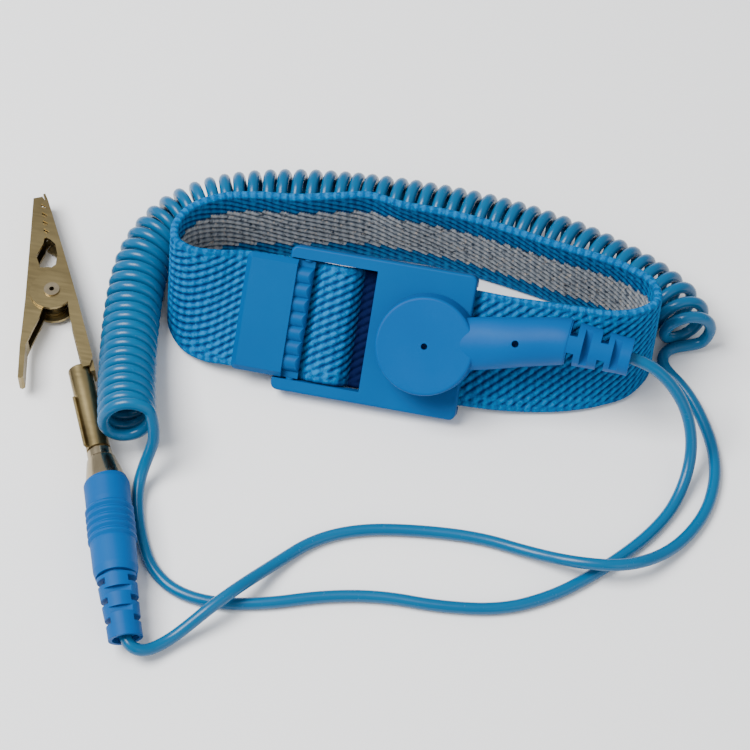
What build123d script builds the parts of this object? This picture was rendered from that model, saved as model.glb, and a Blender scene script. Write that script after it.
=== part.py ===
from build123d import *
import math
import os

os.makedirs("parts", exist_ok=True)

# Anti-static wrist strap: an elastic band in a moulded clamp buckle, a snap cap on the buckle's stud,
# one thin cord with a long curly stretch, a banana plug, and a spring clip pushed on the plug.
# Millimetres, +Z up, X along the buckle, -Y towards the front. Z = 0 is the table that it all lies on.

# ---- elastic band
band_width = 23.6
band_thickness = 1.8
pinched_thickness = 0.9
lining_width = 13.0
lining_thickness = 0.35

# ---- buckle: its own frame has x along the plate, y up the plate and z out of its face
buckle_centre = (-5.6, -8.0, 12.4)
buckle_lean = 52.0
plate_half_length = 18.8
plate_half_height = 14.6
plate_depth = 4.4
plate_skin = 2.2
rail_inner = 12.2
window_left = -12.8
window_right = -1.0
anvil_top = -3.62
band_in_window = -1.9
band_behind_plate = -3.3
band_in_slot = -4.0
band_under_cam = -3.12

# ---- clamp lever
lever_axis_x = -15.2
lever_axis_z = -1.1
lever_hub_radius = 1.5
lever_pin_radius = 0.8
lever_half_width = 11.9
lever_left = -27.3
lever_step = -17.0
lever_top = 0.8
lever_underside = -0.7
ridge_count = 7
ridge_pitch = 2.9
ridge_radius = 2.0
ridge_top = 0.25
ridge_base = -1.7
bite_radius = 0.85

# ---- snap stud and cap
stud_place = (11.1, -0.25, 0.0)
stud_hole_radius = 1.55
stud_ball_radius = 5.0
stud_height = 3.0
contact_depth = 1.1
rivet_head_radius = 3.2
rivet_head_depth = 0.6
cap_turn = 12.0
cap_radius = 10.1
cap_gap = 0.3
cap_top = 7.0
handle_length = 27.2
handle_axis_height = 5.2
relief_bend = 16.0
relief_start = 0.8
relief_length = 12.6

# ---- cord
cord_diameter = 2.4
cord_radius = cord_diameter / 2
coil_radius = 5.8
arc_share = 0.45

# ---- plug and clip: their frame has x from the plug's rim to the clip's tip, y to the left, z up
rim_place = (-51.2, -46.4, 5.7)
plug_turn = 116.1
plug_tilt = 2.3
plug_handle_length = 23.8
plug_front = -2.2
grip_turn = -6.0
plug_relief_end = (-38.2, -80.0, 4.8)
plug_recess = 1.1
pin_radius = 2.0
barrel_start = 5.5
barrel_end = 25.0
barrel_radius = 2.4
barrel_bore = 2.05
rivet_place = (44.2, 1.9)
clip_half_height = 2.7
clip_sheet = 0.6
jaw_gap = 0.1

# ---- where things lie
buckle_frame = Pos(*buckle_centre) * Rot(90 - buckle_lean, 0, 0)
cap_frame = buckle_frame * Pos(*stud_place) * Rot(0, 0, cap_turn)
plug_frame = Pos(*rim_place) * Rot(0, 0, plug_turn) * Rot(0, plug_tilt, 0)
grip_frame = plug_frame * Pos(plug_front, 0, 0) * Rot(0, 0, grip_turn) * Pos(-plug_front, 0, 0)

lead_a_route = [
    (45.6, -7.7, 19.2), (48.9, -8.2, 18.9), (52.0, -9.1, 17.5), (54.9, -10.4, 15.2),
    (57.4, -12.1, 12.2), (59.2, -14.4, 8.9), (60.2, -17.3, 5.9), (60.3, -21.2, 3.4),
    (59.5, -25.8, 1.8), (57.8, -30.8, 1.2), (54.4, -36.6, 1.2), (50.2, -41.8, 1.2),
    (45.2, -47.2, 1.2), (38.8, -52.8, 1.2), (30.0, -57.6, 1.2), (18.2, -59.4, 1.2),
    (6.8, -59.4, 1.2), (-4.0, -61.6, 1.2), (-14.6, -65.6, 1.2), (-24.4, -67.6, 1.2),
    (-32.4, -66.6, 1.2), (-38.0, -62.6, 1.2), (-41.4, -56.6, 1.2), (-43.8, -50.6, 1.5),
    (-44.7, -46.0, 2.5), (-44.3, -42.8, 4.4), (-43.4, -40.6, 7.0), (-42.6, -38.9, 9.8),
    (-42.2, -37.2, 12.4),
]
coil_route = [
    (-48.2, -38.3, 11.9), (-50.4, -31.0, 9.9), (-52.4, -23.0, 7.8), (-54.4, -14.0, 6.2),
    (-55.8, -5.0, 5.9), (-56.2, 4.5, 5.9), (-53.4, 13.4, 5.9), (-47.0, 19.9, 5.9),
    (-38.0, 23.8, 5.9), (-27.0, 26.4, 5.9), (-14.0, 27.9, 5.9), (0.0, 28.3, 5.9),
    (13.5, 27.7, 5.9), (26.5, 25.6, 5.9), (38.0, 22.2, 5.9), (47.6, 18.0, 5.9),
    (53.8, 13.4, 5.9), (56.0, 8.4, 5.9),
]
lead_b_route = [
    (53.4, 7.9, 1.7), (51.6, 6.3, 1.4), (51.5, 3.9, 1.3), (53.1, 1.9, 1.2),
    (56.0, -0.4, 1.2), (59.0, -3.8, 1.2), (62.0, -8.6, 1.2), (64.6, -14.2, 1.2),
    (66.0, -21.0, 1.2), (65.0, -29.6, 1.2), (60.0, -38.8, 1.9), (52.2, -45.6, 5.2),
    (42.4, -46.8, 5.2), (33.0, -44.6, 1.8), (23.0, -43.0, 1.2), (11.4, -43.8, 1.2),
    (0.0, -45.8, 1.2), (-8.6, -50.0, 1.2), (-14.6, -57.0, 1.8), (-19.6, -64.8, 5.2),
    (-24.2, -70.6, 5.2), (-27.6, -74.2, 3.4), (-30.2, -76.9, 2.4), (-32.4, -79.1, 2.4),
    (-34.3, -80.8, 3.1), (-36.2, -81.4, 4.1), (-38.0, -80.4, 4.7), (-38.9, -78.5, 4.7),
]


def save(name, shape):
    export_step(shape, f"parts/{name}.step")


def block(x0, x1, y0, y1, z0, z1):
    """A box between two corners."""
    size = (x1 - x0, y1 - y0, z1 - z0)
    return Pos((x0 + x1) / 2, (y0 + y1) / 2, (z0 + z1) / 2) * Box(*size)


def rod(radius, x0, x1, y=0.0, z=0.0):
    """A cylinder along x."""
    return Pos((x0 + x1) / 2, y, z) * Rot(0, 90, 0) * Cylinder(radius, x1 - x0)


def post(radius, z0, z1, x=0.0, y=0.0):
    """A cylinder along z."""
    return Pos(x, y, (z0 + z1) / 2) * Cylinder(radius, z1 - z0)


def turned(profile):
    """A solid turned about x from (x, radius) points."""
    outline = Polyline(*[(x, r) for x, r in profile], close=True)
    return revolve(make_face(outline), Axis.X)


# ---------------------------------------------------------------- band
def in_buckle(x, z):
    """Bottom and top points of the band's middle at one place along the buckle."""
    half = band_width / 2
    low = (buckle_frame * Pos(x, -half, z)).position
    high = (buckle_frame * Pos(x, half, z)).position
    return (tuple(low), tuple(high))


def band_stations():
    """Bottom point, top point and thickness, from the end fixed under the stud round to the tail."""
    full = band_thickness
    fixed = [(*in_buckle(3.2, band_behind_plate), full), (*in_buckle(18.0, band_behind_plate), full)]
    loop = [
        ((20.5, -14.2, 1.6), (20.4, 2.3, 18.2)),
        ((27.5, -12.7, 0.8), (27.2, 1.9, 19.1)),
        ((34.8, -10.7, 0.6), (34.2, 0.9, 20.9)),
        ((40.8, -8.0, 0.5), (40.6, 0.2, 22.4)),
        ((45.8, -4.4, 0.3), (46.0, 1.8, 23.0)),
        ((48.5, 1.2, 0.3), (48.7, 4.6, 23.5)),
        ((47.7, 6.6, 0.3), (47.2, 8.0, 23.7)),
        ((43.2, 10.9, 0.3), (42.0, 10.4, 23.8)),
        ((37.0, 13.2, 0.3), (35.8, 11.8, 23.7)),
        ((30.0, 14.4, 0.3), (29.0, 12.7, 23.7)),
        ((22.0, 16.0, 0.3), (21.2, 14.0, 23.7)),
        ((12.0, 17.7, 0.3), (11.6, 15.5, 23.7)),
        ((3.0, 18.7, 0.3), (3.0, 16.2, 23.7)),
        ((-5.0, 18.8, 0.3), (-5.0, 16.3, 23.7)),
        ((-11.5, 18.3, 0.3), (-11.5, 17.2, 23.8)),
        ((-18.5, 17.2, 0.3), (-18.2, 15.6, 23.8)),
        ((-26.0, 15.6, 0.3), (-25.8, 13.7, 23.7)),
        ((-34.0, 13.9, 0.3), (-33.7, 12.6, 23.8)),
        ((-41.5, 11.2, 0.3), (-41.0, 10.6, 23.8)),
        ((-46.6, 6.2, 0.3), (-46.2, 6.6, 23.8)),
        ((-48.7, -0.6, 0.3), (-47.9, 2.2, 23.6)),
        ((-47.9, -7.0, 0.3), (-47.0, -0.4, 22.8)),
        ((-44.4, -12.2, 0.8), (-43.8, -1.0, 21.6)),
        ((-39.4, -15.2, 2.2), (-38.9, 0.4, 19.9)),
    ]
    clamp = [
        (*in_buckle(-28.8, band_in_window), full),
        (*in_buckle(-19.6, band_in_window), full),
        (*in_buckle(-16.4, band_under_cam), pinched_thickness),
        (*in_buckle(-13.4, band_under_cam), pinched_thickness),
        (*in_buckle(-11.3, band_in_window), full),
        (*in_buckle(-6.4, band_in_window), full),
        (*in_buckle(-4.2, band_in_slot), full),
        (*in_buckle(2.6, band_in_slot), full),
    ]
    return fixed + [(low, high, full) for low, high in loop] + clamp


def strip(stations, width, depth_of, offset_of):
    """A ribbon through the stations: its width along each one's height, offset along the inward normal."""
    middles = [(Vector(*low) + Vector(*high)) * 0.5 for low, high, _ in stations]
    sections = []
    for i, (low, high, thickness) in enumerate(stations):
        rise = (Vector(*high) - Vector(*low)).normalized()
        ahead = middles[min(i + 1, len(middles) - 1)] - middles[max(i - 1, 0)]
        along = (ahead - rise * ahead.dot(rise)).normalized()
        inward = rise.cross(along)
        plane = Plane(origin=middles[i] + inward * offset_of(thickness), x_dir=rise, z_dir=along)
        sections.append(plane * Rectangle(width, depth_of(thickness)))
    return loft(sections, ruled=True)


def elastic_band():
    band = strip(band_stations(), band_width, lambda t: t, lambda t: 0.0)
    return band - buckle_frame * post(stud_hole_radius, -6, 0, *stud_place[:2])


def conductive_lining():
    """The grey conductive weave on the inner face, over the free part of the loop."""
    clear_of_band = 0.05
    face = band_thickness / 2 + lining_thickness / 2 + clear_of_band
    free = band_stations()[2:27]
    return strip(free, lining_width, lambda t: lining_thickness, lambda t: face)


# ---------------------------------------------------------------- buckle
def buckle_plate():
    body = block(-plate_half_length, plate_half_length, -plate_half_height, plate_half_height, -plate_depth, 0)
    corners = body.edges().filter_by(Axis.Z)
    body = fillet(corners, 1.4)
    body = fillet(body.faces().sort_by(Axis.Z)[-1].edges(), 0.5)
    under = block(window_right, plate_half_length + 1, -rail_inner, rail_inner, -plate_depth - 1, -plate_skin)
    window = block(window_left, window_right, -rail_inner, rail_inner, -plate_depth - 1, 1)
    above_anvil = block(-plate_half_length - 1, window_left, -rail_inner, rail_inner, anvil_top, 1)
    slot_mouth = block(window_right - 0.1, window_right + 2.0, -rail_inner, rail_inner, -plate_depth, -1.6)
    pins = Pos(lever_axis_x, 0, lever_axis_z) * Rot(90, 0, 0) * Cylinder(
        lever_pin_radius + 0.04, 2 * (lever_half_width + 2.1)
    )
    hole = post(stud_hole_radius, -plate_depth, 1, *stud_place[:2])
    return body - under - window - above_anvil - slot_mouth - pins - hole


def clamp_lever():
    """A flap with a lower ridged strip over its cam hub, in one moulding, on two stub pins in the rails."""
    half = lever_half_width
    flap = block(lever_left, lever_step, -half, half, lever_underside, lever_top)
    ends = flap.edges().filter_by(Axis.Z).sort_by(Axis.X)[:2]
    flap = fillet(ends, 1.1)
    flap = chamfer(flap.faces().sort_by(Axis.X)[0].edges().sort_by(Axis.Z)[-1], 1.0)
    axle = Pos(lever_axis_x, 0, lever_axis_z) * Rot(90, 0, 0)
    hub = axle * Cylinder(lever_hub_radius, 2 * half)
    back = lever_step - 0.5
    front = lever_axis_x + lever_hub_radius
    room = hub + block(back, lever_axis_x, -half, half, ridge_base, ridge_top + 0.1)
    ridges = block(back, front, -half, half, ridge_base, lever_axis_z)
    first = -(ridge_count - 1) / 2 * ridge_pitch
    for i in range(ridge_count):
        ridges += rod(ridge_radius, back, front, first + i * ridge_pitch, ridge_top - ridge_radius)
    strip_end = block(back, front, -half, half, ridge_base, 2)
    lower_hub = hub - block(back, front + 1, -half - 1, half + 1, lever_axis_z, 2)
    lever = flap + lower_hub + (ridges & strip_end & room)
    for i in range(ridge_count + 1):
        y = first + (i - 0.5) * ridge_pitch
        lever -= post(bite_radius, lever_axis_z - 0.2, 2, front + 0.25, y)
    stub = 1.9
    for side in (-1, 1):
        middle = side * (half + stub / 2 - 0.1)
        lever += Pos(lever_axis_x, middle, lever_axis_z) * Rot(90, 0, 0) * Cylinder(lever_pin_radius, stub)
    return lever


def snap_stud():
    flange = post(5.6, 0.02, 0.45)
    neck = post(4.5, 0.4, 1.5)
    ball = fillet(post(stud_ball_radius, 1.2, stud_height).edges(), 0.6)
    return Pos(*stud_place) * (flange + neck + ball - post(stud_hole_radius, 0, 2.0))


def contact_plate():
    """The bare steel plate that touches the wrist, under the end of the band."""
    z_top = band_behind_plate - band_thickness / 2 - 0.05
    z_face = z_top - contact_depth
    plate = block(4.0, 18.0, -8.5, 8.5, z_face, z_top)
    plate = fillet(plate.edges().filter_by(Axis.Z), 2.0)
    plate -= post(rivet_head_radius + 0.1, z_face - 1, z_face + rivet_head_depth, *stud_place[:2])
    return plate - post(stud_hole_radius, -6, 0, *stud_place[:2])


def stud_rivet():
    """The tubular rivet that joins contact plate, band, buckle and stud."""
    z_face = band_behind_plate - band_thickness / 2 - 0.05 - contact_depth
    z_head = z_face + rivet_head_depth
    shank = post(stud_hole_radius - 0.05, z_head - 0.1, 1.9)
    head = post(rivet_head_radius, z_face + 0.03, z_head - 0.03)
    return Pos(*stud_place[:2], 0) * (shank + head - post(0.9, z_face - 1, 1.2))


# ---------------------------------------------------------------- snap cap
def oval(x, half_width, half_height, z):
    """An elliptical section of the cap's handle."""
    return Plane(origin=(x, 0, z), x_dir=(0, 1, 0), z_dir=(1, 0, 0)) * Ellipse(half_width, half_height)


def slotted_relief(length, big, small, side_places, groove_places, width, side_depth, groove_depth):
    """A tapered strain relief along +x with side notches, and grooves on its front and back."""
    collar = 2.1
    root = big - 0.8
    cone = turned([
        (-1.0, 0), (-1.0, root), (0, root), (0, big), (length - collar, small), (length, small), (length, 0),
    ])
    far = big + 1
    for x in side_places:
        near = big - side_depth
        cone -= block(x, x + width, near, far, -far, far)
        cone -= block(x, x + width, -far, -near, -far, far)
    for x in groove_places:
        near = big - groove_depth
        cone -= block(x, x + width, -far, far, near, far)
        cone -= block(x, x + width, -far, far, -far, -near)
    return cone


def cap_relief_place():
    return Pos(handle_length, 0, handle_axis_height) * Rot(0, 0, -relief_bend) * Pos(relief_start, 0, 0)


def snap_cap():
    """Disc, handle and strain relief moulded in one over the socket, resistor and crimp."""
    disc = extrude(Pos(0, 0, cap_gap) * Circle(cap_radius), cap_top - cap_gap, taper=3)
    disc = fillet(disc.faces().sort_by(Axis.Z)[-1].edges(), 0.6)
    handle = loft([
        oval(3.0, 4.0, 2.4, 4.2), oval(7.0, 5.0, 2.8, 4.2), oval(10.0, 5.2, 3.4, 4.2), oval(14.0, 5.1, 4.1, 4.3),
        oval(21.0, 4.8, 4.3, 4.8), oval(25.5, 4.7, 4.5, 5.1), cap_relief_place() * oval(0, 4.7, 4.6, 0),
    ])
    relief = slotted_relief(relief_length, 4.5, 3.7, (0.3, 6.4), (3.1, 9.0), 1.5, 2.8, 2.2)
    cap = disc + handle + cap_relief_place() * relief
    cap -= post(6.35, 0, 4.15)
    cap -= post(0.65, cap_top - 2.2, cap_top + 1)
    cap -= rod(1.35, 6.9, 14.1, 0, 5.0)
    cap -= rod(0.35, 3.0, 19.1, 0, 5.0)
    cap -= rod(1.15, 19.0, 24.1, 0, 5.0)
    cap -= post(0.35, 4.1, 5.2, 3.4, 0.0)
    cap -= post(0.7, 6.6, 10, 18.0, 0.0)
    return cap


def snap_socket():
    cup = post(6.3, 0.5, 4.1) - post(5.75, 0, 3.6)
    lip = post(6.0, 0.5, 0.8) - post(5.2, 0, 1)
    return cup + lip


def socket_spring():
    ring = Pos(0, 0, 1.3) * Torus(5.38, 0.3)
    return ring - block(5.0, 6.0, -0.8, 0.8, 0.5, 2.0)


def resistor():
    body = rod(1.3, 7.0, 14.0, 0, 5.0)
    return fillet(body.edges(), 0.4)


def resistor_leads():
    """Both wire ends of the resistor, the inner one bent down to the socket's top."""
    down = post(0.3, 4.12, 5.3, 3.4, 0.0)
    inner = rod(0.3, 3.1, 6.98, 0, 5.0)
    outer = rod(0.3, 14.02, 18.98, 0, 5.0)
    return Compound([inner + down, outer])


def cap_crimp():
    return rod(1.1, 19.02, 24.0, 0, 5.0) - rod(0.6, 21.0, 25.0, 0, 5.0)


# ---------------------------------------------------------------- cord
def corner_radii(points):
    """The largest arc at each inside corner that its two runs leave room for."""
    spots = [Vector(*p) for p in points]
    radii = []
    for before, corner, after in zip(spots, spots[1:], spots[2:]):
        runs = ((corner - before), (after - corner))
        half_turn = math.radians(runs[0].get_angle(runs[1])) / 2
        radii.append(arc_share * min(run.length for run in runs) / math.tan(half_turn))
    return radii


def tube(name, points, radius):
    radii = corner_radii(points)
    path = FilletPolyline(*points, radius=radii)
    start = Plane(origin=path @ 0, z_dir=path % 0)
    solid = sweep(start * Circle(radius), path=path)
    ideal = math.pi * radius**2 * path.length
    print(name, "length", round(path.length, 1), "least radius", round(min(radii), 1),
          "volume share", round(solid.volume / ideal, 4))
    print("   radii", [round(r, 1) for r in radii])
    return solid


# ---------------------------------------------------------------- plug
def plug_relief_frame():
    """Frame at the handle's cord end, with x pointing back from the relief's collar."""
    start = (grip_frame * Pos(-plug_handle_length, 0, 0)).position
    back = start - Vector(*plug_relief_end)
    turn = math.degrees(math.atan2(back.Y, back.X))
    tilt = -math.degrees(math.asin(back.Z / back.length))
    return Pos(*start) * Rot(0, 0, turn) * Rot(0, tilt, 0), back.length


def plug_body():
    """Moulded grip with five ribs and a slotted strain relief."""
    grip = [(-plug_handle_length, 0), (-plug_handle_length, 4.0), (-22.3, 4.35), (-16.6, 4.45)]
    ring_pitch = 1.6
    ring_start = -16.2
    for i in range(5):
        x = ring_start + i * ring_pitch
        grip += [(x, 4.35), (x + 0.5, 4.75), (x + 0.9, 4.75), (x + 1.4, 4.35)]
    past_front = plug_front + 0.6
    grip += [(-7.4, 4.45), (plug_front - 0.8, 4.5), (past_front, 4.0), (past_front, 0)]
    relief_frame, length = plug_relief_frame()
    relief = slotted_relief(length, 3.9, 3.35, (0.7, 4.6, 8.5), (2.7, 6.6), 1.2, 1.7, 1.2)
    relief -= rod(2.6, length - plug_recess, length + 1)
    body = grip_frame * turned(grip) + relief_frame * Rot(0, 0, 180) * relief
    body -= plug_frame * block(plug_front, 5, -6, 6, -6, 6)
    body -= plug_frame * rod(pin_radius + 0.02, -12.0, 1.0)
    return body - plug_frame * rod(1.35, -17.1, -11.0)


def plug_collar():
    """Nickel shoulder between the grip and the pin."""
    back = plug_front + 0.05
    cone = turned([(back, 0), (back, 4.1), (2.9, 2.9), (3.4, 2.5), (4.9, 2.5), (4.9, 0)])
    return plug_frame * (cone - rod(pin_radius + 0.02, -3, 6))


def banana_pin():
    core = rod(pin_radius, -11.9, 5.6) + rod(1.25, 5.5, 22.5)
    tip = fillet(rod(pin_radius - 0.2, 22.4, 24.2).edges().sort_by(Axis.X)[-1], 0.9)
    return plug_frame * (core + tip)


def banana_spring():
    """Four sprung leaves round the pin's core."""
    bow = turned([(6.0, 1.3), (6.0, 1.6), (10.0, 1.98), (18.0, 1.98), (22.0, 1.6), (22.0, 1.3),
                  (18.0, 1.68), (10.0, 1.68)])
    for turn in (45, 135):
        bow -= Pos(14, 0, 0) * Rot(turn, 0, 0) * Box(14.0, 0.8, 6.0)
    return plug_frame * bow


def plug_crimp():
    return plug_frame * (rod(1.3, -17.0, -12.0) - rod(0.6, -18.0, -14.0))


# ---------------------------------------------------------------- clip
def tooth_line(side):
    """The meeting line of the jaws, from the front of the eye to the tip, moved to one side."""
    start_x = 57.9
    start_y = 0.4
    fall = 0.1
    pitch = 2.15
    reach = 0.55
    points = []
    for i in range(5):
        x = start_x + i * pitch
        y = start_y - fall * pitch * i + side * jaw_gap
        points += [(x, y + reach), (x + pitch * 0.5, y - reach)]
    return points + [(68.9, start_y - fall * 11.0 + side * jaw_gap)]


def channel(outline, half_height, cavity):
    """A sheet-metal channel: the outline as two cheeks, with the wall that the cavity leaves."""
    body = Pos(0, 0, -half_height) * extrude(make_face(Polyline(*outline, close=True)), 2 * half_height)
    inner = half_height - clip_sheet
    hollow = Pos(0, 0, -inner) * extrude(make_face(Polyline(*cavity, close=True)), 2 * inner)
    return body - hollow


def shoulder(radius, start, end, count):
    """Points round the rivet between two angles in degrees."""
    x, y = rivet_place
    angles = [math.radians(start + (end - start) * i / (count - 1)) for i in range(count)]
    return [(x + radius * math.cos(a), y + radius * math.sin(a)) for a in angles]


def clip_fixed_jaw():
    """The jaw that carries the arm and the rolled barrel for the plug."""
    outer = [(69.0, -1.3), (67.0, -1.55), (52.7, -2.25), (40.0, -2.75), (26.0, -3.0), (24.0, -2.0)]
    arm = [(24.0, -0.6), (27.0, -0.45), (36.5, -0.35)]
    eye = [(50.3, 0.0), (52.5, -0.8), (55.4, -0.9), (56.8, -0.2)]
    rim = shoulder(4.5, 215, 25, 12)
    outline = outer + arm + rim + eye + tooth_line(-1)
    wall = clip_sheet
    cavity = [(70.0, -1.3 + wall), (67.0, -1.55 + wall), (52.7, -2.25 + wall), (40.0, -2.75 + wall),
              (23.0, -2.95 + wall), (23.0, 8.0), (70.0, 8.0)]
    jaw = channel(outline, clip_half_height, cavity)
    barrel = rod(barrel_radius, barrel_start, barrel_end) - rod(barrel_bore, barrel_start - 1, barrel_end + 1)
    web = block(23.0, 28.0, -2.9, -1.9, -2.0, 2.0) - rod(barrel_bore, 20.0, 29.0)
    wing = Pos(0, 2.15, 1.0) * Rot(-25, 0, 0) * block(6.2, 18.0, -0.25, 0.25, -2.2, 0.9)
    wing -= rod(barrel_bore + 0.1, 0.0, 30.0)
    jaw = jaw + barrel + web + wing
    return plug_frame * (jaw - post(1.05, -4, 4, *rivet_place))


def clip_moving_jaw():
    """The sprung jaw with the thumb tab, inside the fixed jaw's cheeks at the rivet."""
    half = clip_half_height - clip_sheet - 0.08
    outer = [(68.9, 1.3), (60.8, 3.3), (44.0, 7.5), (36.4, 9.6), (33.0, 10.6), (25.3, 12.4), (24.9, 11.9)]
    inside = [(25.2, 11.3), (32.6, 9.5), (35.6, 7.6), (38.6, 5.6)]
    rim = shoulder(3.3, 140, 330, 10)
    eye = [(50.4, 1.0), (50.9, 3.2), (54.0, 3.4), (56.8, 1.4)]
    outline = outer + inside + rim + eye + tooth_line(1)
    wall = clip_sheet
    cavity = [(69.5, 1.3 - wall), (60.8, 3.3 - wall), (44.0, 7.5 - wall), (36.6, 9.4 - wall),
              (33.5, 8.8), (33.5, -4.0), (69.5, -4.0)]
    jaw = channel(outline, half, cavity)
    return plug_frame * (jaw - post(1.05, -4, 4, *rivet_place))


def clip_rivet():
    x, y = rivet_place
    shank = post(1.0, -2.85, 2.85, x, y)
    heads = post(1.6, 2.72, 3.1, x, y) + post(1.6, -3.1, -2.72, x, y)
    return plug_frame * (shank + heads - post(0.5, -4, 4, x, y))


def clip_spring():
    """Torsion spring round the rivet: close-wound body and the leg on the fixed jaw."""
    x, y = rivet_place
    wound = post(1.75, -1.4, 1.4, x, y) - post(1.12, -2, 2, x, y)
    leg = Pos(x - 4.6, y - 2.9, 1.1) * Rot(0, 0, 15) * Rot(0, 90, 0) * Cylinder(0.3, 8.0)
    return plug_frame * (wound + leg)


# ---------------------------------------------------------------- the whole strap
def main():
    save("elastic_band", elastic_band())
    save("conductive_lining", conductive_lining())
    save("buckle_plate", buckle_frame * buckle_plate())
    save("clamp_lever", buckle_frame * clamp_lever())
    save("snap_stud", buckle_frame * snap_stud())
    save("contact_plate", buckle_frame * contact_plate())
    save("stud_rivet", buckle_frame * stud_rivet())
    save("snap_cap", cap_frame * snap_cap())
    save("snap_socket", cap_frame * snap_socket())
    save("socket_spring", cap_frame * socket_spring())
    save("resistor", cap_frame * resistor())
    save("resistor_leads", cap_frame * resistor_leads())
    save("cap_crimp", cap_frame * cap_crimp())
    save("cord_cap_lead", tube("cord_cap_lead", lead_a_route, cord_radius))
    save("cord_coil", tube("cord_coil", coil_route, coil_radius))
    save("cord_plug_lead", tube("cord_plug_lead", lead_b_route, cord_radius))
    save("plug_body", plug_body())
    save("plug_collar", plug_collar())
    save("banana_pin", banana_pin())
    save("banana_spring", banana_spring())
    save("plug_crimp", plug_crimp())
    save("clip_fixed_jaw", clip_fixed_jaw())
    save("clip_moving_jaw", clip_moving_jaw())
    save("clip_rivet", clip_rivet())
    save("clip_spring", clip_spring())


main()
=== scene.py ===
import math
import random

import bpy
import numpy as np
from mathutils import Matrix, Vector


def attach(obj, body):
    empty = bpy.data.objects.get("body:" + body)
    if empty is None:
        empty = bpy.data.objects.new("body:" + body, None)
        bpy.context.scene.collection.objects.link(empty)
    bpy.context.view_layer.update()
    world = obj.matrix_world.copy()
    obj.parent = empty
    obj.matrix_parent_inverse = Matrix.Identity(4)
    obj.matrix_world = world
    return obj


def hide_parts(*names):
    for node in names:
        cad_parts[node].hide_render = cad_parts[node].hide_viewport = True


# Look of an anti-static wrist strap: ribbed elastic band, moulded buckle and snap cap, curly cord,
# banana plug and alligator clip. Metres throughout, in the CAD frame.

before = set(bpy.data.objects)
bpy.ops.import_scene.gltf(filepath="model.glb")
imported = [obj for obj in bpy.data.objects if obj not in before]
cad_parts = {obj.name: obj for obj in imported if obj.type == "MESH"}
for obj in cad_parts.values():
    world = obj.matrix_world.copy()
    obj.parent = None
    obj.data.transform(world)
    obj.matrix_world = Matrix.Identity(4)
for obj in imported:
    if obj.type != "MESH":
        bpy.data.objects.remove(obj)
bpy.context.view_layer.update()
MM = 0.001

# ---- band
BAND_WIDTH = 23.6 * MM
BAND_THICKNESS = 1.8 * MM
PINCHED_THICKNESS = 0.9 * MM
EDGE_RADIUS = 1.0 * MM
STEP_ALONG = 0.26 * MM
STEP_ACROSS = 0.24 * MM
EDGE_STEPS = 12

# ribs: their slope and rise at places along the band, changing smoothly in between
RIB_PLACES = (0, 50 * MM, 120 * MM, 172 * MM, 185 * MM)
RIB_SLOPES = (0.9, 0.9, 0.45, 0.45, 0.68)
RIB_RISES = (2.1 * MM, 1.8 * MM, 1.65 * MM, 1.65 * MM, 1.65 * MM)
RIB_DEPTH = 0.58 * MM
STRAND_DEPTH = 0.06 * MM
STRAND_PITCH = 0.82 * MM
STRAND_SLANT = 0.35
STRAND_SHIFT = 1.3  # radians from one rib to the next

# row of lumps beside each edge, measured in from where the edge starts to round
LUMP_INSET = 1.4 * MM
LUMP_REACH = 0.8 * MM
LUMP_PITCH = 2.3 * MM
LUMP_SLANT = 0.5

# bound edges, where the ribs fade out
BINDING_WIDTH = 0.7 * MM
BINDING_SET = 0.10 * MM
STITCH_PITCH = 0.80 * MM
STITCH_DEPTH = 0.05 * MM
STITCH_SLANT = 0.25
THIN_EDGE = 1.1  # bulge of the edge where the band is pinched, in half thicknesses

# painted shading of the yarn, lighter on crests and darker in valleys: the rib's share, with the rest for
# the strand, and the bound edge's
CREST_SHARE = 0.9
BINDING_LIGHT = 0.6
STITCH_LIGHT = 0.2

CLAMP_STATIONS = 9  # the last stations, held by the buckle
CLAMP_SPREAD = 0.028
CLAMP_RUN_IN = 8 * MM
SLOT_STATIONS = 3  # the last of those, in the slot's shade
SHADE_RUN_IN = 1.5 * MM

LINING_WIDTH = 12.6 * MM
LINING_LIFT = 0.14 * MM
LINING_STEP = 1.3 * MM
LINING_START = 0.09  # shares of the band's length
LINING_END = 0.86

# ---- buckle frame: x along the plate, UP up the plate, OUT of its face
BUCKLE_CENTRE = Vector((-5.6, -8.0, 12.4)) * MM
BUCKLE_TILT = math.radians(38.0)
UP = Vector((0, math.cos(BUCKLE_TILT), math.sin(BUCKLE_TILT)))
OUT = Vector((0, -math.sin(BUCKLE_TILT), math.cos(BUCKLE_TILT)))
BAND_IN_WINDOW = -1.9 * MM
BAND_BEHIND_PLATE = -3.3 * MM
BAND_IN_SLOT = -4.6 * MM
BAND_UNDER_CAM = -3.12 * MM

# ---- cord: the coil is closed at first, then opens, and spreads at its far end
CORD_DIAMETER = 2.4 * MM
COIL_RADIUS = 4.6 * MM
POINTS_PER_TURN = 14
CLOSED_PITCH = 2.60 * MM
OPEN_PITCH = 3.05 * MM
END_PITCH = 3.5 * MM
CLOSED_LENGTH = 46 * MM
OPENING_LENGTH = 16 * MM
SPREAD_LENGTH = 24 * MM
FIRST_ANGLE = 0.1
LOOSE_SHARE = 0.30  # by how much the first turn is wider, and over how many turns that fades
LOOSE_TURNS = 0.4
WOBBLE = 0.12  # uneven pitch, as a share of it
CLOSED_WOBBLE = 0.35  # how much of the unevenness the closed turns keep
MOST_TURNS = 90
WOBBLE_SEED = 7
TOUCHING = 1.005  # least pitch, in cord diameters
LOOK_AHEAD = 1 * MM
STEPS_PER_POINT = 10
STEPS_ROUND = 4

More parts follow.
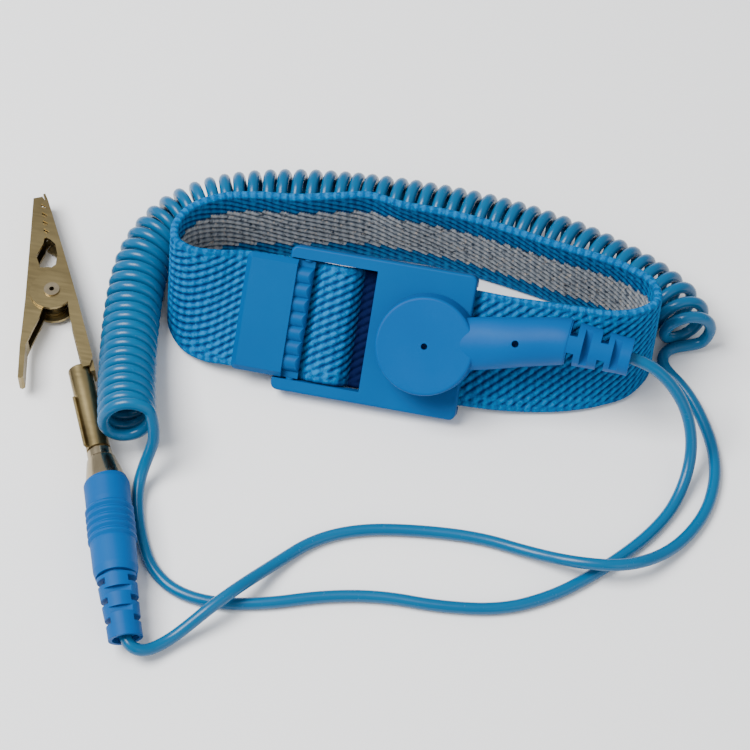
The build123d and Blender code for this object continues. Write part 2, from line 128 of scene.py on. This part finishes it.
# from the snap cap to the coil
LEAD_A_ROUTE = [
    (45.6, -7.7, 19.2), (48.9, -8.2, 18.9), (52.0, -9.1, 17.5), (54.9, -10.4, 15.2),
    (57.4, -12.1, 12.2), (59.2, -14.4, 8.9), (60.2, -17.3, 5.9), (60.3, -21.2, 3.4),
    (59.5, -25.8, 1.8), (57.8, -30.8, 1.2), (54.4, -36.6, 1.2), (50.2, -41.8, 1.2),
    (45.2, -47.2, 1.2), (38.8, -52.8, 1.2), (30.0, -57.6, 1.2), (18.2, -59.4, 1.2),
    (6.8, -59.4, 1.2), (-4.0, -61.6, 1.2), (-14.6, -65.6, 1.2), (-24.4, -67.6, 1.2),
    (-32.4, -66.6, 1.2), (-38.0, -62.6, 1.2), (-41.4, -56.6, 1.2), (-43.8, -50.6, 1.5),
    (-44.7, -46.0, 2.5), (-44.3, -42.8, 4.4), (-43.4, -40.6, 7.0), (-42.6, -38.9, 9.8),
    (-42.2, -37.2, 12.4),
]
# middle line of the coil, round the band
COIL_ROUTE = [
    (-48.2, -38.3, 11.9), (-50.4, -31.0, 9.9), (-52.4, -23.0, 7.8), (-54.4, -14.0, 6.2),
    (-55.8, -5.0, 5.9), (-56.2, 4.5, 5.9), (-53.4, 13.4, 5.9), (-47.0, 19.9, 5.9),
    (-38.0, 23.8, 5.9), (-27.0, 26.4, 5.9), (-14.0, 27.9, 5.9), (0.0, 28.3, 5.9),
    (13.5, 27.7, 5.9), (26.5, 25.6, 5.9), (38.0, 22.2, 5.9), (47.6, 18.0, 5.9),
    (53.8, 13.4, 5.9), (56.0, 8.4, 5.9),
]
# from the coil to the plug, passing twice over the first lead
LEAD_B_ROUTE = [
    (53.4, 7.9, 1.7), (51.6, 6.3, 1.4), (51.5, 3.9, 1.3), (53.1, 1.9, 1.2),
    (56.0, -0.4, 1.2), (59.0, -3.8, 1.2), (62.0, -8.6, 1.2), (64.6, -14.2, 1.2),
    (66.0, -21.0, 1.2), (65.0, -29.6, 1.2), (60.0, -38.8, 1.9), (52.2, -45.6, 5.2),
    (42.4, -46.8, 5.2), (33.0, -44.6, 1.8), (23.0, -43.0, 1.2), (11.4, -43.8, 1.2),
    (0.0, -45.8, 1.2), (-8.6, -50.0, 1.2), (-14.6, -57.0, 1.8), (-19.6, -64.8, 5.2),
    (-24.2, -70.6, 5.2), (-27.6, -74.2, 3.4), (-30.2, -76.9, 2.4), (-32.4, -79.1, 2.4),
    (-34.3, -80.8, 3.1), (-36.2, -81.4, 4.1), (-38.0, -80.4, 4.7), (-38.9, -78.5, 4.7),
]

# ---- studio, in metres and watts
FLOOR_HALF = 2.0
WORLD_COLOUR = (0.95, 0.97, 1.0, 1.0)
WORLD_STRENGTH = 0.68
CAMERA_PLACE = (0.0548, -0.2953, 0.4664)
CAMERA_AIM = (-0.0048, -0.0100, 0.0)
LENS = 130.68
SENSOR_WIDTH = 36.0


def metres(points):
    """Points given in millimetres."""
    return [Vector(p) * MM for p in points]


# ---------------------------------------------------------------- materials
BLACK = (0, 0, 0)
WHITE = (1, 1, 1)


class Finish:
    """A procedural material on one shader, with short calls for the usual nodes."""

    def __init__(self, name, colour, roughness, metallic=0.0):
        self.material = bpy.data.materials.new(name)
        self.material.use_nodes = True
        self.tree = self.material.node_tree
        self.shader = self.tree.nodes["Principled BSDF"]
        self.set("Base Color", (*colour, 1.0))
        self.set("Roughness", roughness)
        self.set("Metallic", metallic)
        self.height = None

    def set(self, socket, value):
        self.shader.inputs[socket].default_value = value

    def node(self, kind, **settings):
        made = self.tree.nodes.new(kind)
        for key, value in settings.items():
            setattr(made, key, value)
        return made

    def link(self, source, target):
        self.tree.links.new(source, target)

    def place(self, stretch=(1, 1, 1), turn=(0, 0, 0), coordinates="Object"):
        """Coordinates of the surface, stretched and turned."""
        where = self.node("ShaderNodeTexCoord")
        moved = self.node("ShaderNodeMapping")
        moved.inputs["Scale"].default_value = stretch
        moved.inputs["Rotation"].default_value = turn
        self.link(where.outputs[coordinates], moved.inputs["Vector"])
        return moved.outputs["Vector"]

    def noise(self, scale, detail=3.0, place=None):
        made = self.node("ShaderNodeTexNoise")
        made.inputs["Scale"].default_value = scale
        made.inputs["Detail"].default_value = detail
        self.link(place or self.place(), made.inputs["Vector"])
        return made.outputs["Fac"]

    def stripes(self, scale, distortion, detail_scale, place):
        made = self.node("ShaderNodeTexWave", wave_type="BANDS", bands_direction="X")
        made.inputs["Scale"].default_value = scale
        made.inputs["Distortion"].default_value = distortion
        made.inputs["Detail Scale"].default_value = detail_scale
        self.link(place, made.inputs["Vector"])
        return made.outputs["Fac"]

    def attribute(self, name):
        return self.node("ShaderNodeAttribute", attribute_name=name).outputs["Fac"]

    def ramp(self, source, *stops):
        """Colours along a 0 to 1 value: each stop is (position, (r, g, b))."""
        made = self.node("ShaderNodeValToRGB")
        for stop, (position, colour) in zip(made.color_ramp.elements, stops):
            stop.position = position
            stop.color = (*colour, 1.0)
        for position, colour in stops[2:]:
            made.color_ramp.elements.new(position).color = (*colour, 1.0)
        self.link(source, made.inputs["Fac"])
        return made.outputs["Color"]

    def scale_value(self, source, low, high):
        made = self.node("ShaderNodeMapRange")
        made.inputs["To Min"].default_value = low
        made.inputs["To Max"].default_value = high
        self.link(source, made.inputs["Value"])
        return made.outputs["Result"]

    def combine(self, operation, *values):
        made = self.node("ShaderNodeMath", operation=operation)
        for socket, value in zip(made.inputs, values):
            if isinstance(value, float):
                socket.default_value = value
            else:
                self.link(value, socket)
        return made.outputs["Value"]

    def mix(self, factor, first, second):
        made = self.node("ShaderNodeMix", data_type="RGBA", blend_type="MIX")
        for name, value in (("Factor", factor), ("A", first), ("B", second)):
            socket = [s for s in made.inputs if s.name == name and s.enabled][0]
            if isinstance(value, (int, float)):
                socket.default_value = value
            elif isinstance(value, tuple):
                socket.default_value = (*value, 1.0)
            else:
                self.link(value, socket)
        return [s for s in made.outputs if s.enabled][0]

    def colour(self, source):
        self.link(source, self.shader.inputs["Base Color"])

    def roughness(self, source):
        self.link(source, self.shader.inputs["Roughness"])

    def bump(self, source, strength, depth):
        made = self.node("ShaderNodeBump")
        made.inputs["Strength"].default_value = strength
        made.inputs["Distance"].default_value = depth
        self.link(source, made.inputs["Height"])
        if self.height:
            self.link(self.height, made.inputs["Normal"])
        self.height = made.outputs["Normal"]
        self.link(self.height, self.shader.inputs["Normal"])


def moulded(name, base, deep, roughness):
    """Moulded plastic: fine spark-eroded grain, slow clouding of the colour and scuffed gloss."""
    finish = Finish(name, base, roughness)
    cloud = finish.noise(scale=45.0, detail=4.0)
    finish.colour(finish.ramp(cloud, (0.3, deep), (0.7, base)))
    scuff = finish.noise(scale=420.0, detail=5.0)
    finish.roughness(finish.scale_value(scuff, low=roughness - 0.07, high=roughness + 0.1))
    finish.bump(finish.noise(scale=2600.0, detail=2.0), strength=0.12, depth=0.05 * MM)
    finish.bump(finish.noise(scale=160.0, detail=2.0), strength=0.08, depth=0.2 * MM)
    finish.set("Specular IOR Level", 0.12)
    return finish.material


def jacket(name, base, deep):
    """Glossy polyurethane cord jacket with a faint bumpy grain and handling marks."""
    finish = Finish(name, base, roughness=0.28)
    cloud = finish.noise(scale=60.0, detail=4.0)
    finish.colour(finish.ramp(cloud, (0.3, deep), (0.7, base)))
    scuff = finish.noise(scale=900.0, detail=4.0)
    finish.roughness(finish.scale_value(scuff, low=0.22, high=0.30))
    finish.bump(finish.noise(scale=350.0, detail=3.0), strength=0.04, depth=0.1 * MM)
    finish.set("Specular IOR Level", 0.30)
    return finish.material


def yarn(name, valley, middle, crest, fleck, fleck_share, dark_share):
    """Knitted yarn: painted shade in the valleys between the ribs and a painted highlight on their
    crests, around the yarn's middle colour, with flecks and gaps.

    It reads the mesh's painted knit shading, from 0 in a valley to 1 on a crest, and its painted shadow,
    1 where no light gets.
    """
    finish = Finish(name, middle, roughness=0.8)
    slanted = finish.place(stretch=(1, 0.42, 1), coordinates="UV")
    strands = finish.stripes(scale=190.0, distortion=1.2, detail_scale=2.0, place=slanted)
    fibre = finish.noise(scale=2400.0, detail=3.0)
    # painted shade and highlight: lighter along the strands and rib crests, darker in the valleys
    lit = finish.combine("MULTIPLY_ADD", strands, 0.3, finish.attribute("knit_shade"))
    lit = finish.combine("MULTIPLY", lit, finish.scale_value(fibre, low=0.55, high=1.15))
    shade = finish.ramp(lit, (0.0, valley), (1.0, crest), (0.5, middle))
    speck = finish.noise(scale=1500.0, detail=2.0)
    speck = finish.ramp(speck, (0.58, BLACK), (0.72, WHITE))
    shade = finish.mix(finish.combine("MULTIPLY", speck, fleck_share), shade, fleck)
    gap = finish.noise(scale=1100.0, detail=2.0)
    gap = finish.ramp(gap, (0.30, WHITE), (0.44, BLACK))
    shade = finish.mix(finish.combine("MULTIPLY", gap, dark_share), shade, valley)
    finish.colour(finish.mix(finish.attribute("shadow"), shade, valley))
    finish.roughness(finish.scale_value(fibre, low=0.65, high=0.95))
    finish.bump(strands, strength=0.55, depth=0.12 * MM)
    finish.bump(fibre, strength=0.45, depth=0.06 * MM)
    finish.set("Specular IOR Level", 0.10)
    return finish.material


def plated(name, base, dull, roughness, stretch, turn=(0, 0, 0)):
    """Plated sheet or turned metal, brushed along one direction, with duller patches."""
    finish = Finish(name, base, roughness, metallic=1.0)
    grain = finish.noise(scale=700.0, detail=4.0, place=finish.place(stretch, turn))
    patch = finish.noise(scale=70.0, detail=5.0)
    finish.colour(finish.ramp(patch, (0.3, dull), (0.65, base)))
    worn = finish.combine("MULTIPLY", grain, finish.scale_value(patch, low=0.8, high=1.25))
    finish.roughness(finish.scale_value(worn, low=roughness - 0.1, high=roughness + 0.16))
    finish.bump(grain, strength=0.16, depth=0.04 * MM)
    return finish.material


BUCKLE = moulded(
    "buckle_plastic", base=(0.0002, 0.080, 0.250), deep=(0.0001, 0.070, 0.225), roughness=0.46,
)
CAP = moulded("cap_plastic", base=(0.0004, 0.082, 0.275), deep=(0.0003, 0.070, 0.245), roughness=0.50)
JACKET = jacket("cord_jacket", base=(0.0001, 0.098, 0.225), deep=(0.0001, 0.086, 0.205))
# each yarn's valley colour is painted shade and its crest colour a painted highlight
BLUE_YARN = yarn(
    "blue_yarn", valley=(0.000, 0.004, 0.040), middle=(0.0002, 0.046, 0.170),
    crest=(0.0008, 0.165, 0.410), fleck=(0.010, 0.22, 0.44), fleck_share=0.35, dark_share=0.35,
)
GREY_YARN = yarn(
    "grey_yarn", valley=(0.010, 0.022, 0.045), middle=(0.150, 0.180, 0.215),
    crest=(0.420, 0.440, 0.460), fleck=(0.62, 0.52, 0.42), fleck_share=0.75, dark_share=0.9,
)
NICKEL = plated(
    "brushed_nickel", base=(0.30, 0.235, 0.115), dull=(0.21, 0.16, 0.075), roughness=0.30,
    stretch=(0.2, 3, 1), turn=(0, 0, math.radians(-26.1)),
)
BRIGHT = plated(
    "bright_nickel", base=(0.46, 0.38, 0.26), dull=(0.34, 0.28, 0.18), roughness=0.20, stretch=(1, 1, 1),
)
STEEL = plated(
    "bare_steel", base=(0.62, 0.62, 0.63), dull=(0.48, 0.48, 0.50), roughness=0.32, stretch=(3, 0.3, 1),
)
BRASS = plated(
    "spring_brass", base=(0.70, 0.50, 0.20), dull=(0.58, 0.38, 0.14), roughness=0.28, stretch=(1, 1, 1),
)
CERAMIC = moulded("resistor_coat", base=(0.62, 0.50, 0.34), deep=(0.52, 0.40, 0.26), roughness=0.50)

NODE_FINISH = {
    "buckle_plate": BUCKLE, "clamp_lever": BUCKLE, "snap_cap": CAP, "plug_body": CAP,
    "snap_stud": BRIGHT, "contact_plate": STEEL, "stud_rivet": BRIGHT, "snap_socket": BRIGHT,
    "socket_spring": BRASS, "resistor": CERAMIC, "resistor_leads": BRIGHT, "cap_crimp": BRIGHT,
    "plug_collar": BRIGHT, "banana_pin": BRIGHT, "banana_spring": BRASS, "plug_crimp": BRIGHT,
    "clip_fixed_jaw": NICKEL, "clip_moving_jaw": NICKEL, "clip_rivet": BRIGHT,
    "clip_spring": STEEL,
}


def finish_node(name, material):
    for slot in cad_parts[name].material_slots:
        slot.link = "OBJECT"
        slot.material = material


# ---------------------------------------------------------------- floor, light, camera
def area_light(name, place, target, size, power):
    """A square lamp aimed at the target."""
    light = bpy.data.lights.new(name, "AREA")
    light.shape = "SQUARE"
    light.size = size
    light.energy = power
    lamp = bpy.data.objects.new(name, light)
    lamp.location = place
    aim = Vector(target) - Vector(place)
    lamp.rotation_euler = aim.to_track_quat("-Z", "Y").to_euler()
    bpy.context.scene.collection.objects.link(lamp)


def build_floor():
    finish = Finish("floor_paper", (0.9, 0.9, 0.9), roughness=0.9)
    finish.bump(finish.noise(scale=300.0), strength=0.03, depth=0.1 * MM)
    signs = ((-1, -1), (1, -1), (1, 1), (-1, 1))
    corners = [(x * FLOOR_HALF, y * FLOOR_HALF, 0) for x, y in signs]
    mesh = bpy.data.meshes.new("floor")
    mesh.from_pydata(corners, [], [(0, 1, 2, 3)])
    mesh.materials.append(finish.material)
    floor = bpy.data.objects.new("floor", mesh)
    bpy.context.scene.collection.objects.link(floor)


def build_lights():
    world = bpy.data.worlds.new("studio")
    world.use_nodes = True
    backdrop = world.node_tree.nodes["Background"]
    backdrop.inputs["Color"].default_value = WORLD_COLOUR
    backdrop.inputs["Strength"].default_value = WORLD_STRENGTH
    bpy.context.scene.world = world
    area_light("key", place=(-0.34, -0.10, 0.66), target=(0, 0, 0), size=0.40, power=10.0)
    area_light("fill", place=(0.55, -0.45, 0.45), target=(0, 0, 0), size=0.6, power=1.2)


def build_camera():
    camera = bpy.data.cameras.new("camera")
    camera.lens = LENS
    camera.sensor_width = SENSOR_WIDTH
    camera_object = bpy.data.objects.new("camera", camera)
    camera_object.location = CAMERA_PLACE
    aim = Vector(CAMERA_AIM) - camera_object.location
    camera_object.rotation_euler = aim.to_track_quat("-Z", "Y").to_euler()
    bpy.context.scene.collection.objects.link(camera_object)
    bpy.context.scene.camera = camera_object


# ---------------------------------------------------------------- cord
def nurbs_curve(name, points, bevel=0.0):
    """A quadratic curve from the first point to the last, round in section where it has a bevel."""
    curve = bpy.data.curves.new(name, "CURVE")
    curve.dimensions = "3D"
    curve.resolution_u = STEPS_PER_POINT
    curve.bevel_depth = bevel
    curve.bevel_resolution = STEPS_ROUND
    spline = curve.splines.new("NURBS")
    spline.points.add(len(points) - 1)
    for control, point in zip(spline.points, points):
        control.co = (*point, 1.0)
    spline.order_u = 3
    spline.use_endpoint_u = True
    made = bpy.data.objects.new(name, curve)
    bpy.context.scene.collection.objects.link(made)
    return made


def smooth_line(points):
    """Points along the NURBS line with these control points, and their distances along it."""
    guide = nurbs_curve("guide", points)
    bpy.context.view_layer.update()
    mesh = bpy.data.meshes.new_from_object(guide)
    line = np.array([v.co for v in mesh.vertices])
    bpy.data.objects.remove(guide)
    steps = np.linalg.norm(np.diff(line, axis=0), axis=1)
    return line, np.concatenate([[0], np.cumsum(steps)])


def pitch_at(distance, total):
    """Pitch of the coil at a distance along it."""
    opening = np.clip((distance - CLOSED_LENGTH) / OPENING_LENGTH, 0, 1)
    spreading = np.clip((distance - total + SPREAD_LENGTH) / SPREAD_LENGTH, 0, 1)
    opened = CLOSED_PITCH + (OPEN_PITCH - CLOSED_PITCH) * opening
    return opened + (END_PITCH - OPEN_PITCH) * spreading


def curly_turns():
    """The cord's own points along the moulded coil, wound round the coil's middle line."""
    line, distance = smooth_line(metres(COIL_ROUTE))
    total = distance[-1]

    def spot(where):
        return np.array([np.interp(where, distance, line[:, k]) for k in range(3)])

    rng = random.Random(WOBBLE_SEED)
    wobble = [rng.uniform(-WOBBLE, WOBBLE) for _ in range(MOST_TURNS)]
    radius = COIL_RADIUS / math.cos(math.pi / POINTS_PER_TURN)
    points = []
    along = 0.0
    angle = FIRST_ANGLE
    while along < total:
        ahead = spot(min(along + LOOK_AHEAD, total))
        behind = spot(max(along - LOOK_AHEAD, 0))
        travel = Vector(ahead - behind).normalized()
        side = travel.cross(Vector((0, 0, 1))).normalized()
        rise = side.cross(travel)
        turn = angle / math.tau
        loose = 1.0 + LOOSE_SHARE * max(0.0, 1 - turn / LOOSE_TURNS)
        spoke = side * math.cos(angle) + rise * math.sin(angle)
        points.append(Vector(spot(along)) + spoke * radius * loose)
        kept_wobble = CLOSED_WOBBLE if along < CLOSED_LENGTH else 1.0
        pitch = pitch_at(along, total) * (1 + wobble[int(turn)] * kept_wobble)
        along += max(pitch, CORD_DIAMETER * TOUCHING) / POINTS_PER_TURN
        angle += math.tau / POINTS_PER_TURN
    return points


def build_cord():
    points = metres(LEAD_A_ROUTE)[:-1] + curly_turns()[1:] + metres(LEAD_B_ROUTE)
    cord = nurbs_curve("cord", points, CORD_DIAMETER / 2)
    cord.data.materials.append(JACKET)
    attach(cord, "cord_set")
    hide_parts("cord_cap_lead", "cord_coil", "cord_plug_lead")


# ---------------------------------------------------------------- band
OUTER, EDGE, INNER = 0, 1, 2  # faces of the band's section


def in_buckle(x, out):
    """Bottom and top point of a station held flat in the buckle."""
    middle = BUCKLE_CENTRE + Vector((x, 0, 0)) + OUT * out
    half = UP * (BAND_WIDTH / 2)
    return middle - half, middle + half


def band_stations():
    """Bottom point, top point and thickness, from the end fixed under the stud round to the tail."""
    full = BAND_THICKNESS
    loop = [
        ((20.5, -14.2, 1.6), (20.4, 2.3, 18.2)), ((27.5, -12.7, 0.8), (27.2, 1.9, 19.1)),
        ((34.8, -10.7, 0.6), (34.2, 0.9, 20.9)), ((40.8, -8.0, 0.5), (40.6, 0.2, 22.4)),
        ((45.8, -4.4, 0.3), (46.0, 1.8, 23.0)), ((48.5, 1.2, 0.3), (48.7, 4.6, 23.5)),
        ((47.7, 6.6, 0.3), (47.2, 8.0, 23.7)), ((43.2, 10.9, 0.3), (42.0, 10.4, 23.8)),
        ((37.0, 13.2, 0.3), (35.8, 11.8, 23.7)), ((30.0, 14.4, 0.3), (29.0, 12.7, 23.7)),
        ((22.0, 16.0, 0.3), (21.2, 14.0, 23.7)), ((12.0, 17.7, 0.3), (11.6, 15.5, 23.7)),
        ((3.0, 18.7, 0.3), (3.0, 16.2, 23.7)), ((-5.0, 18.8, 0.3), (-5.0, 16.3, 23.7)),
        ((-11.5, 18.3, 0.3), (-11.5, 17.2, 23.8)), ((-18.5, 17.2, 0.3), (-18.2, 15.6, 23.8)),
        ((-26.0, 15.6, 0.3), (-25.8, 13.7, 23.7)), ((-34.0, 13.9, 0.3), (-33.7, 12.6, 23.8)),
        ((-41.5, 11.2, 0.3), (-41.0, 10.6, 23.8)), ((-46.6, 6.2, 0.3), (-46.2, 6.6, 23.8)),
        ((-48.7, -0.6, 0.3), (-47.9, 2.2, 23.6)), ((-47.9, -7.0, 0.3), (-47.0, -0.4, 22.8)),
        ((-44.4, -12.2, 0.8), (-43.8, -1.0, 21.6)), ((-39.4, -15.2, 2.2), (-38.9, 0.4, 19.9)),
    ]
    fixed = [(*in_buckle(x * MM, BAND_BEHIND_PLATE), full) for x in (3.2, 18.0)]
    free = [(Vector(low) * MM, Vector(high) * MM, full) for low, high in loop]
    held = [
        (-28.8, BAND_IN_WINDOW, full), (-19.6, BAND_IN_WINDOW, full),
        (-16.4, BAND_UNDER_CAM, PINCHED_THICKNESS), (-13.4, BAND_UNDER_CAM, PINCHED_THICKNESS),
        (-11.3, BAND_IN_WINDOW, full), (-6.4, BAND_IN_WINDOW, full),
        (-4.2, BAND_IN_SLOT, full), (-1.0, BAND_IN_SLOT, full), (2.6, BAND_IN_SLOT, full),
    ]
    clamp = [(*in_buckle(x * MM, out), thick) for x, out, thick in held]
    return fixed + free + clamp


def through(knots, values, wanted):
    """Smooth values at the wanted places, through the values given at the knots."""
    slopes = np.gradient(values, knots, axis=0)
    spot = np.clip(np.searchsorted(knots, wanted) - 1, 0, len(knots) - 2)
    span = (knots[spot + 1] - knots[spot])[:, None]
    t = (wanted[:, None] - knots[spot][:, None]) / span
    first, second = values[spot], values[spot + 1]
    out_slope, in_slope = slopes[spot] * span, slopes[spot + 1] * span
    return ((2 * t**3 - 3 * t**2 + 1) * first + (t**3 - 2 * t**2 + t) * out_slope
            + (3 * t**2 - 2 * t**3) * second + (t**3 - t**2) * in_slope)


def unit(vectors):
    return vectors / np.linalg.norm(vectors, axis=-1, keepdims=True)


def band_run():
    """Values along the band: distance, middle, rise, inward direction, half thickness, spread, shadow."""
    stations = band_stations()
    low = np.array([s[0] for s in stations])
    high = np.array([s[1] for s in stations])
    middle = (low + high) / 2
    gaps = np.linalg.norm(np.diff(middle, axis=0), axis=1)
    knots = np.concatenate([[0], np.cumsum(gaps)])
    half_thickness = np.array([[s[2] / 2] for s in stations])
    data = np.hstack([middle, unit(high - low), half_thickness])
    along = np.arange(0, knots[-1], STEP_ALONG)
    values = through(knots, data, along)
    middle, rise = values[:, :3], unit(values[:, 3:6])
    travel = np.gradient(middle, axis=0)
    travel = unit(travel - rise * np.sum(travel * rise, axis=1, keepdims=True))
    held = np.clip((along - knots[-CLAMP_STATIONS]) / CLAMP_RUN_IN, 0, 1)
    shadow = np.clip((along - knots[-SLOT_STATIONS]) / SHADE_RUN_IN + 1.0, 0, 1)
    spread = 1 + CLAMP_SPREAD * held
    return along, middle, rise, np.cross(rise, travel), values[:, 6], spread, shadow


def band_section():
    """One turn round the band's section: across, side, the normal's two parts and the face it is on."""
    reach = BAND_WIDTH / 2 - EDGE_RADIUS
    count = int(2 * reach / STEP_ACROSS)
    across = np.linspace(-reach, reach, count)
    bend = [math.radians(a) for a in np.linspace(-90, 90, EDGE_STEPS)[1:-1]]
    rows = [(v, 1.0, 0.0, 1.0, OUTER) for v in across]
    rows += [(reach, 0, math.cos(a), -math.sin(a), EDGE) for a in bend]
    rows += [(v, -1.0, 0.0, -1.0, INNER) for v in across[::-1]]
    rows += [(-reach, 0, -math.cos(a), math.sin(a), EDGE) for a in bend]
    return np.array(rows)


def rib_phase(along, across):
    """Count of ribs passed at each place: they climb across the band as they run along it."""
    rise = np.interp(along, RIB_PLACES, RIB_RISES)
    climbed = np.cumsum(np.interp(along, RIB_PLACES, RIB_SLOPES) * STEP_ALONG / rise, axis=0)
    return across / rise - climbed


def ribs(along, across):
    """Height from 0 to 1 of the slanted ribs, and the height of the twisted strands on them."""
    phase = rib_phase(along, across)
    off_crest = 2 * (phase - np.floor(phase)) - 1
    rib = np.sqrt(np.clip(1 - off_crest**2, 0, 1))
    shift = STRAND_SHIFT * np.floor(phase)
    turned = math.tau * (along + STRAND_SLANT * across) / STRAND_PITCH + shift
    return rib, 0.5 + 0.5 * np.cos(turned)


def band_surface():
    """The woven surface all round the band, as a grid of places with their painted knit shading and their
    shadow.
    """
    along, middle, rise, inward, half_depth, spread, shadow = band_run()
    section = band_section()
    v, side, n_across, n_out, face = section.T
    a, c = along[:, None], v[None, :]
    rib, strand = ribs(a, c)
    on_edge = (face == EDGE)[None, :]
    reach = BAND_WIDTH / 2 - EDGE_RADIUS
    near_edge = np.clip((np.abs(c) - (reach - BINDING_WIDTH)) / BINDING_WIDTH, 0, 1)
    near_edge = np.where(on_edge, 1.0, near_edge)

    row = np.abs(np.abs(c) - (reach - LUMP_INSET)) / LUMP_REACH
    lumps = 0.5 + 0.5 * np.cos(math.tau * (a - LUMP_SLANT * c) / LUMP_PITCH)
    lump = np.clip(1 - row, 0, 1) * lumps
    rib = rib * (1 - lump) + lump
    stitch = np.abs(np.sin(math.pi * (a + STITCH_SLANT * c) / STITCH_PITCH))

    ribbed = -RIB_DEPTH * (1 - rib) - STRAND_DEPTH * (1 - strand)
    bound = -STITCH_DEPTH * (1 - stitch) - BINDING_SET
    height = ribbed * (1 - near_edge) + bound * near_edge
    # painted shading of the knit: dark in the valleys between ribs and strands, light on their crests,
    # and on the bound edge lighter on the stitches
    ribbed_light = CREST_SHARE * rib**2 + (1 - CREST_SHARE) * strand
    bound_light = BINDING_LIGHT + STITCH_LIGHT * stitch
    knit_shade = ribbed_light * (1 - near_edge) + bound_light * near_edge

    depth = half_depth[:, None]
    thin = depth / (BAND_THICKNESS / 2)
    bulge = n_out * np.minimum(EDGE_RADIUS, depth * THIN_EDGE)
    out = np.where(on_edge, bulge, side * depth) + n_out * height * thin
    wide = (c + n_across * (EDGE_RADIUS + height)) * spread[:, None]
    place = (middle[:, None, :] + rise[:, None, :] * wide[..., None]
             - inward[:, None, :] * out[..., None])
    return along, section, inward, place, knit_shade, np.broadcast_to(shadow[:, None], knit_shade.shape)


def grid_mesh(name, place, knit_shade, shadow, along, across, keep=None, closed=False):
    """A smooth mesh over a grid of places, with its painted knit shading, shadow and flat coordinates in
    metres.
    """
    rows, columns = place.shape[:2]
    index = np.arange(rows * columns).reshape(rows, columns)
    right = np.roll(index, -1, axis=1) if closed else index[:, 1:]
    left = index if closed else index[:, :-1]
    quads = np.stack([left[:-1], right[:-1], right[1:], left[1:]], axis=-1).reshape(-1, 4)
    if keep is not None:
        quads = quads[keep.reshape(-1)]
    faces = quads.tolist()
    if closed:
        faces += [index[0, ::-1].tolist(), index[-1].tolist()]
    used = np.zeros(rows * columns, bool)
    used[quads.reshape(-1)] = True
    renumber = np.cumsum(used) - 1
    faces = [[int(renumber[i]) for i in f] for f in faces]
    mesh = bpy.data.meshes.new(name)
    mesh.from_pydata(place.reshape(-1, 3)[used].tolist(), [], faces)
    for layer, values in (("knit_shade", knit_shade), ("shadow", shadow)):
        value = mesh.attributes.new(layer, "FLOAT", "POINT")
        value.data.foreach_set("value", values.reshape(-1)[used].astype(np.float32))
    flat = np.stack(np.broadcast_arrays(along[:, None], across[None, :]), axis=-1)
    flat = flat.reshape(-1, 2)[used]
    corners = np.zeros(len(mesh.loops), np.int32)
    mesh.loops.foreach_get("vertex_index", corners)
    uv = mesh.uv_layers.new(name="flat")
    uv.data.foreach_set("uv", flat[corners].astype(np.float32).reshape(-1))
    mesh.polygons.foreach_set("use_smooth", np.ones(len(mesh.polygons), bool))
    made = bpy.data.objects.new(name, mesh)
    bpy.context.scene.collection.objects.link(made)
    return made


def build_weave(along, section, place, knit_shade, shadow):
    band = grid_mesh("band_weave", place, knit_shade, shadow, along, section[:, 0], closed=True)
    band.data.materials.append(BLUE_YARN)
    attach(band, "root")
    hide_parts("elastic_band")


def build_lining(along, section, inward, place, knit_shade, shadow):
    """Grey yarn on the inner face, its borders stepping from rib to rib."""
    inner = section[:, 4] == INNER
    v = section[inner, 0]
    lifted = place[:, inner] + inward[:, None, :] * LINING_LIFT
    phase = rib_phase(along[:, None], v[None, :])
    off_crest = phase - np.floor(phase) - 0.5
    crest_height = v[None, :] - off_crest * LINING_STEP
    within = (along > along[-1] * LINING_START) & (along < along[-1] * LINING_END)
    grey = (np.abs(crest_height) < LINING_WIDTH / 2) & within[:, None]
    keep = grey[:-1, :-1] & grey[1:, :-1] & grey[:-1, 1:] & grey[1:, 1:]
    lining = grid_mesh("conductive_weave", lifted, knit_shade[:, inner], shadow[:, inner], along, v, keep)
    lining.data.materials.append(GREY_YARN)
    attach(lining, "root")
    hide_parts("conductive_lining")


def build_band():
    along, section, inward, place, knit_shade, shadow = band_surface()
    build_weave(along, section, place, knit_shade, shadow)
    build_lining(along, section, inward, place, knit_shade, shadow)


build_floor()
build_lights()
build_camera()
build_cord()
build_band()
for node_name, node_material in NODE_FINISH.items():
    finish_node(node_name, node_material)
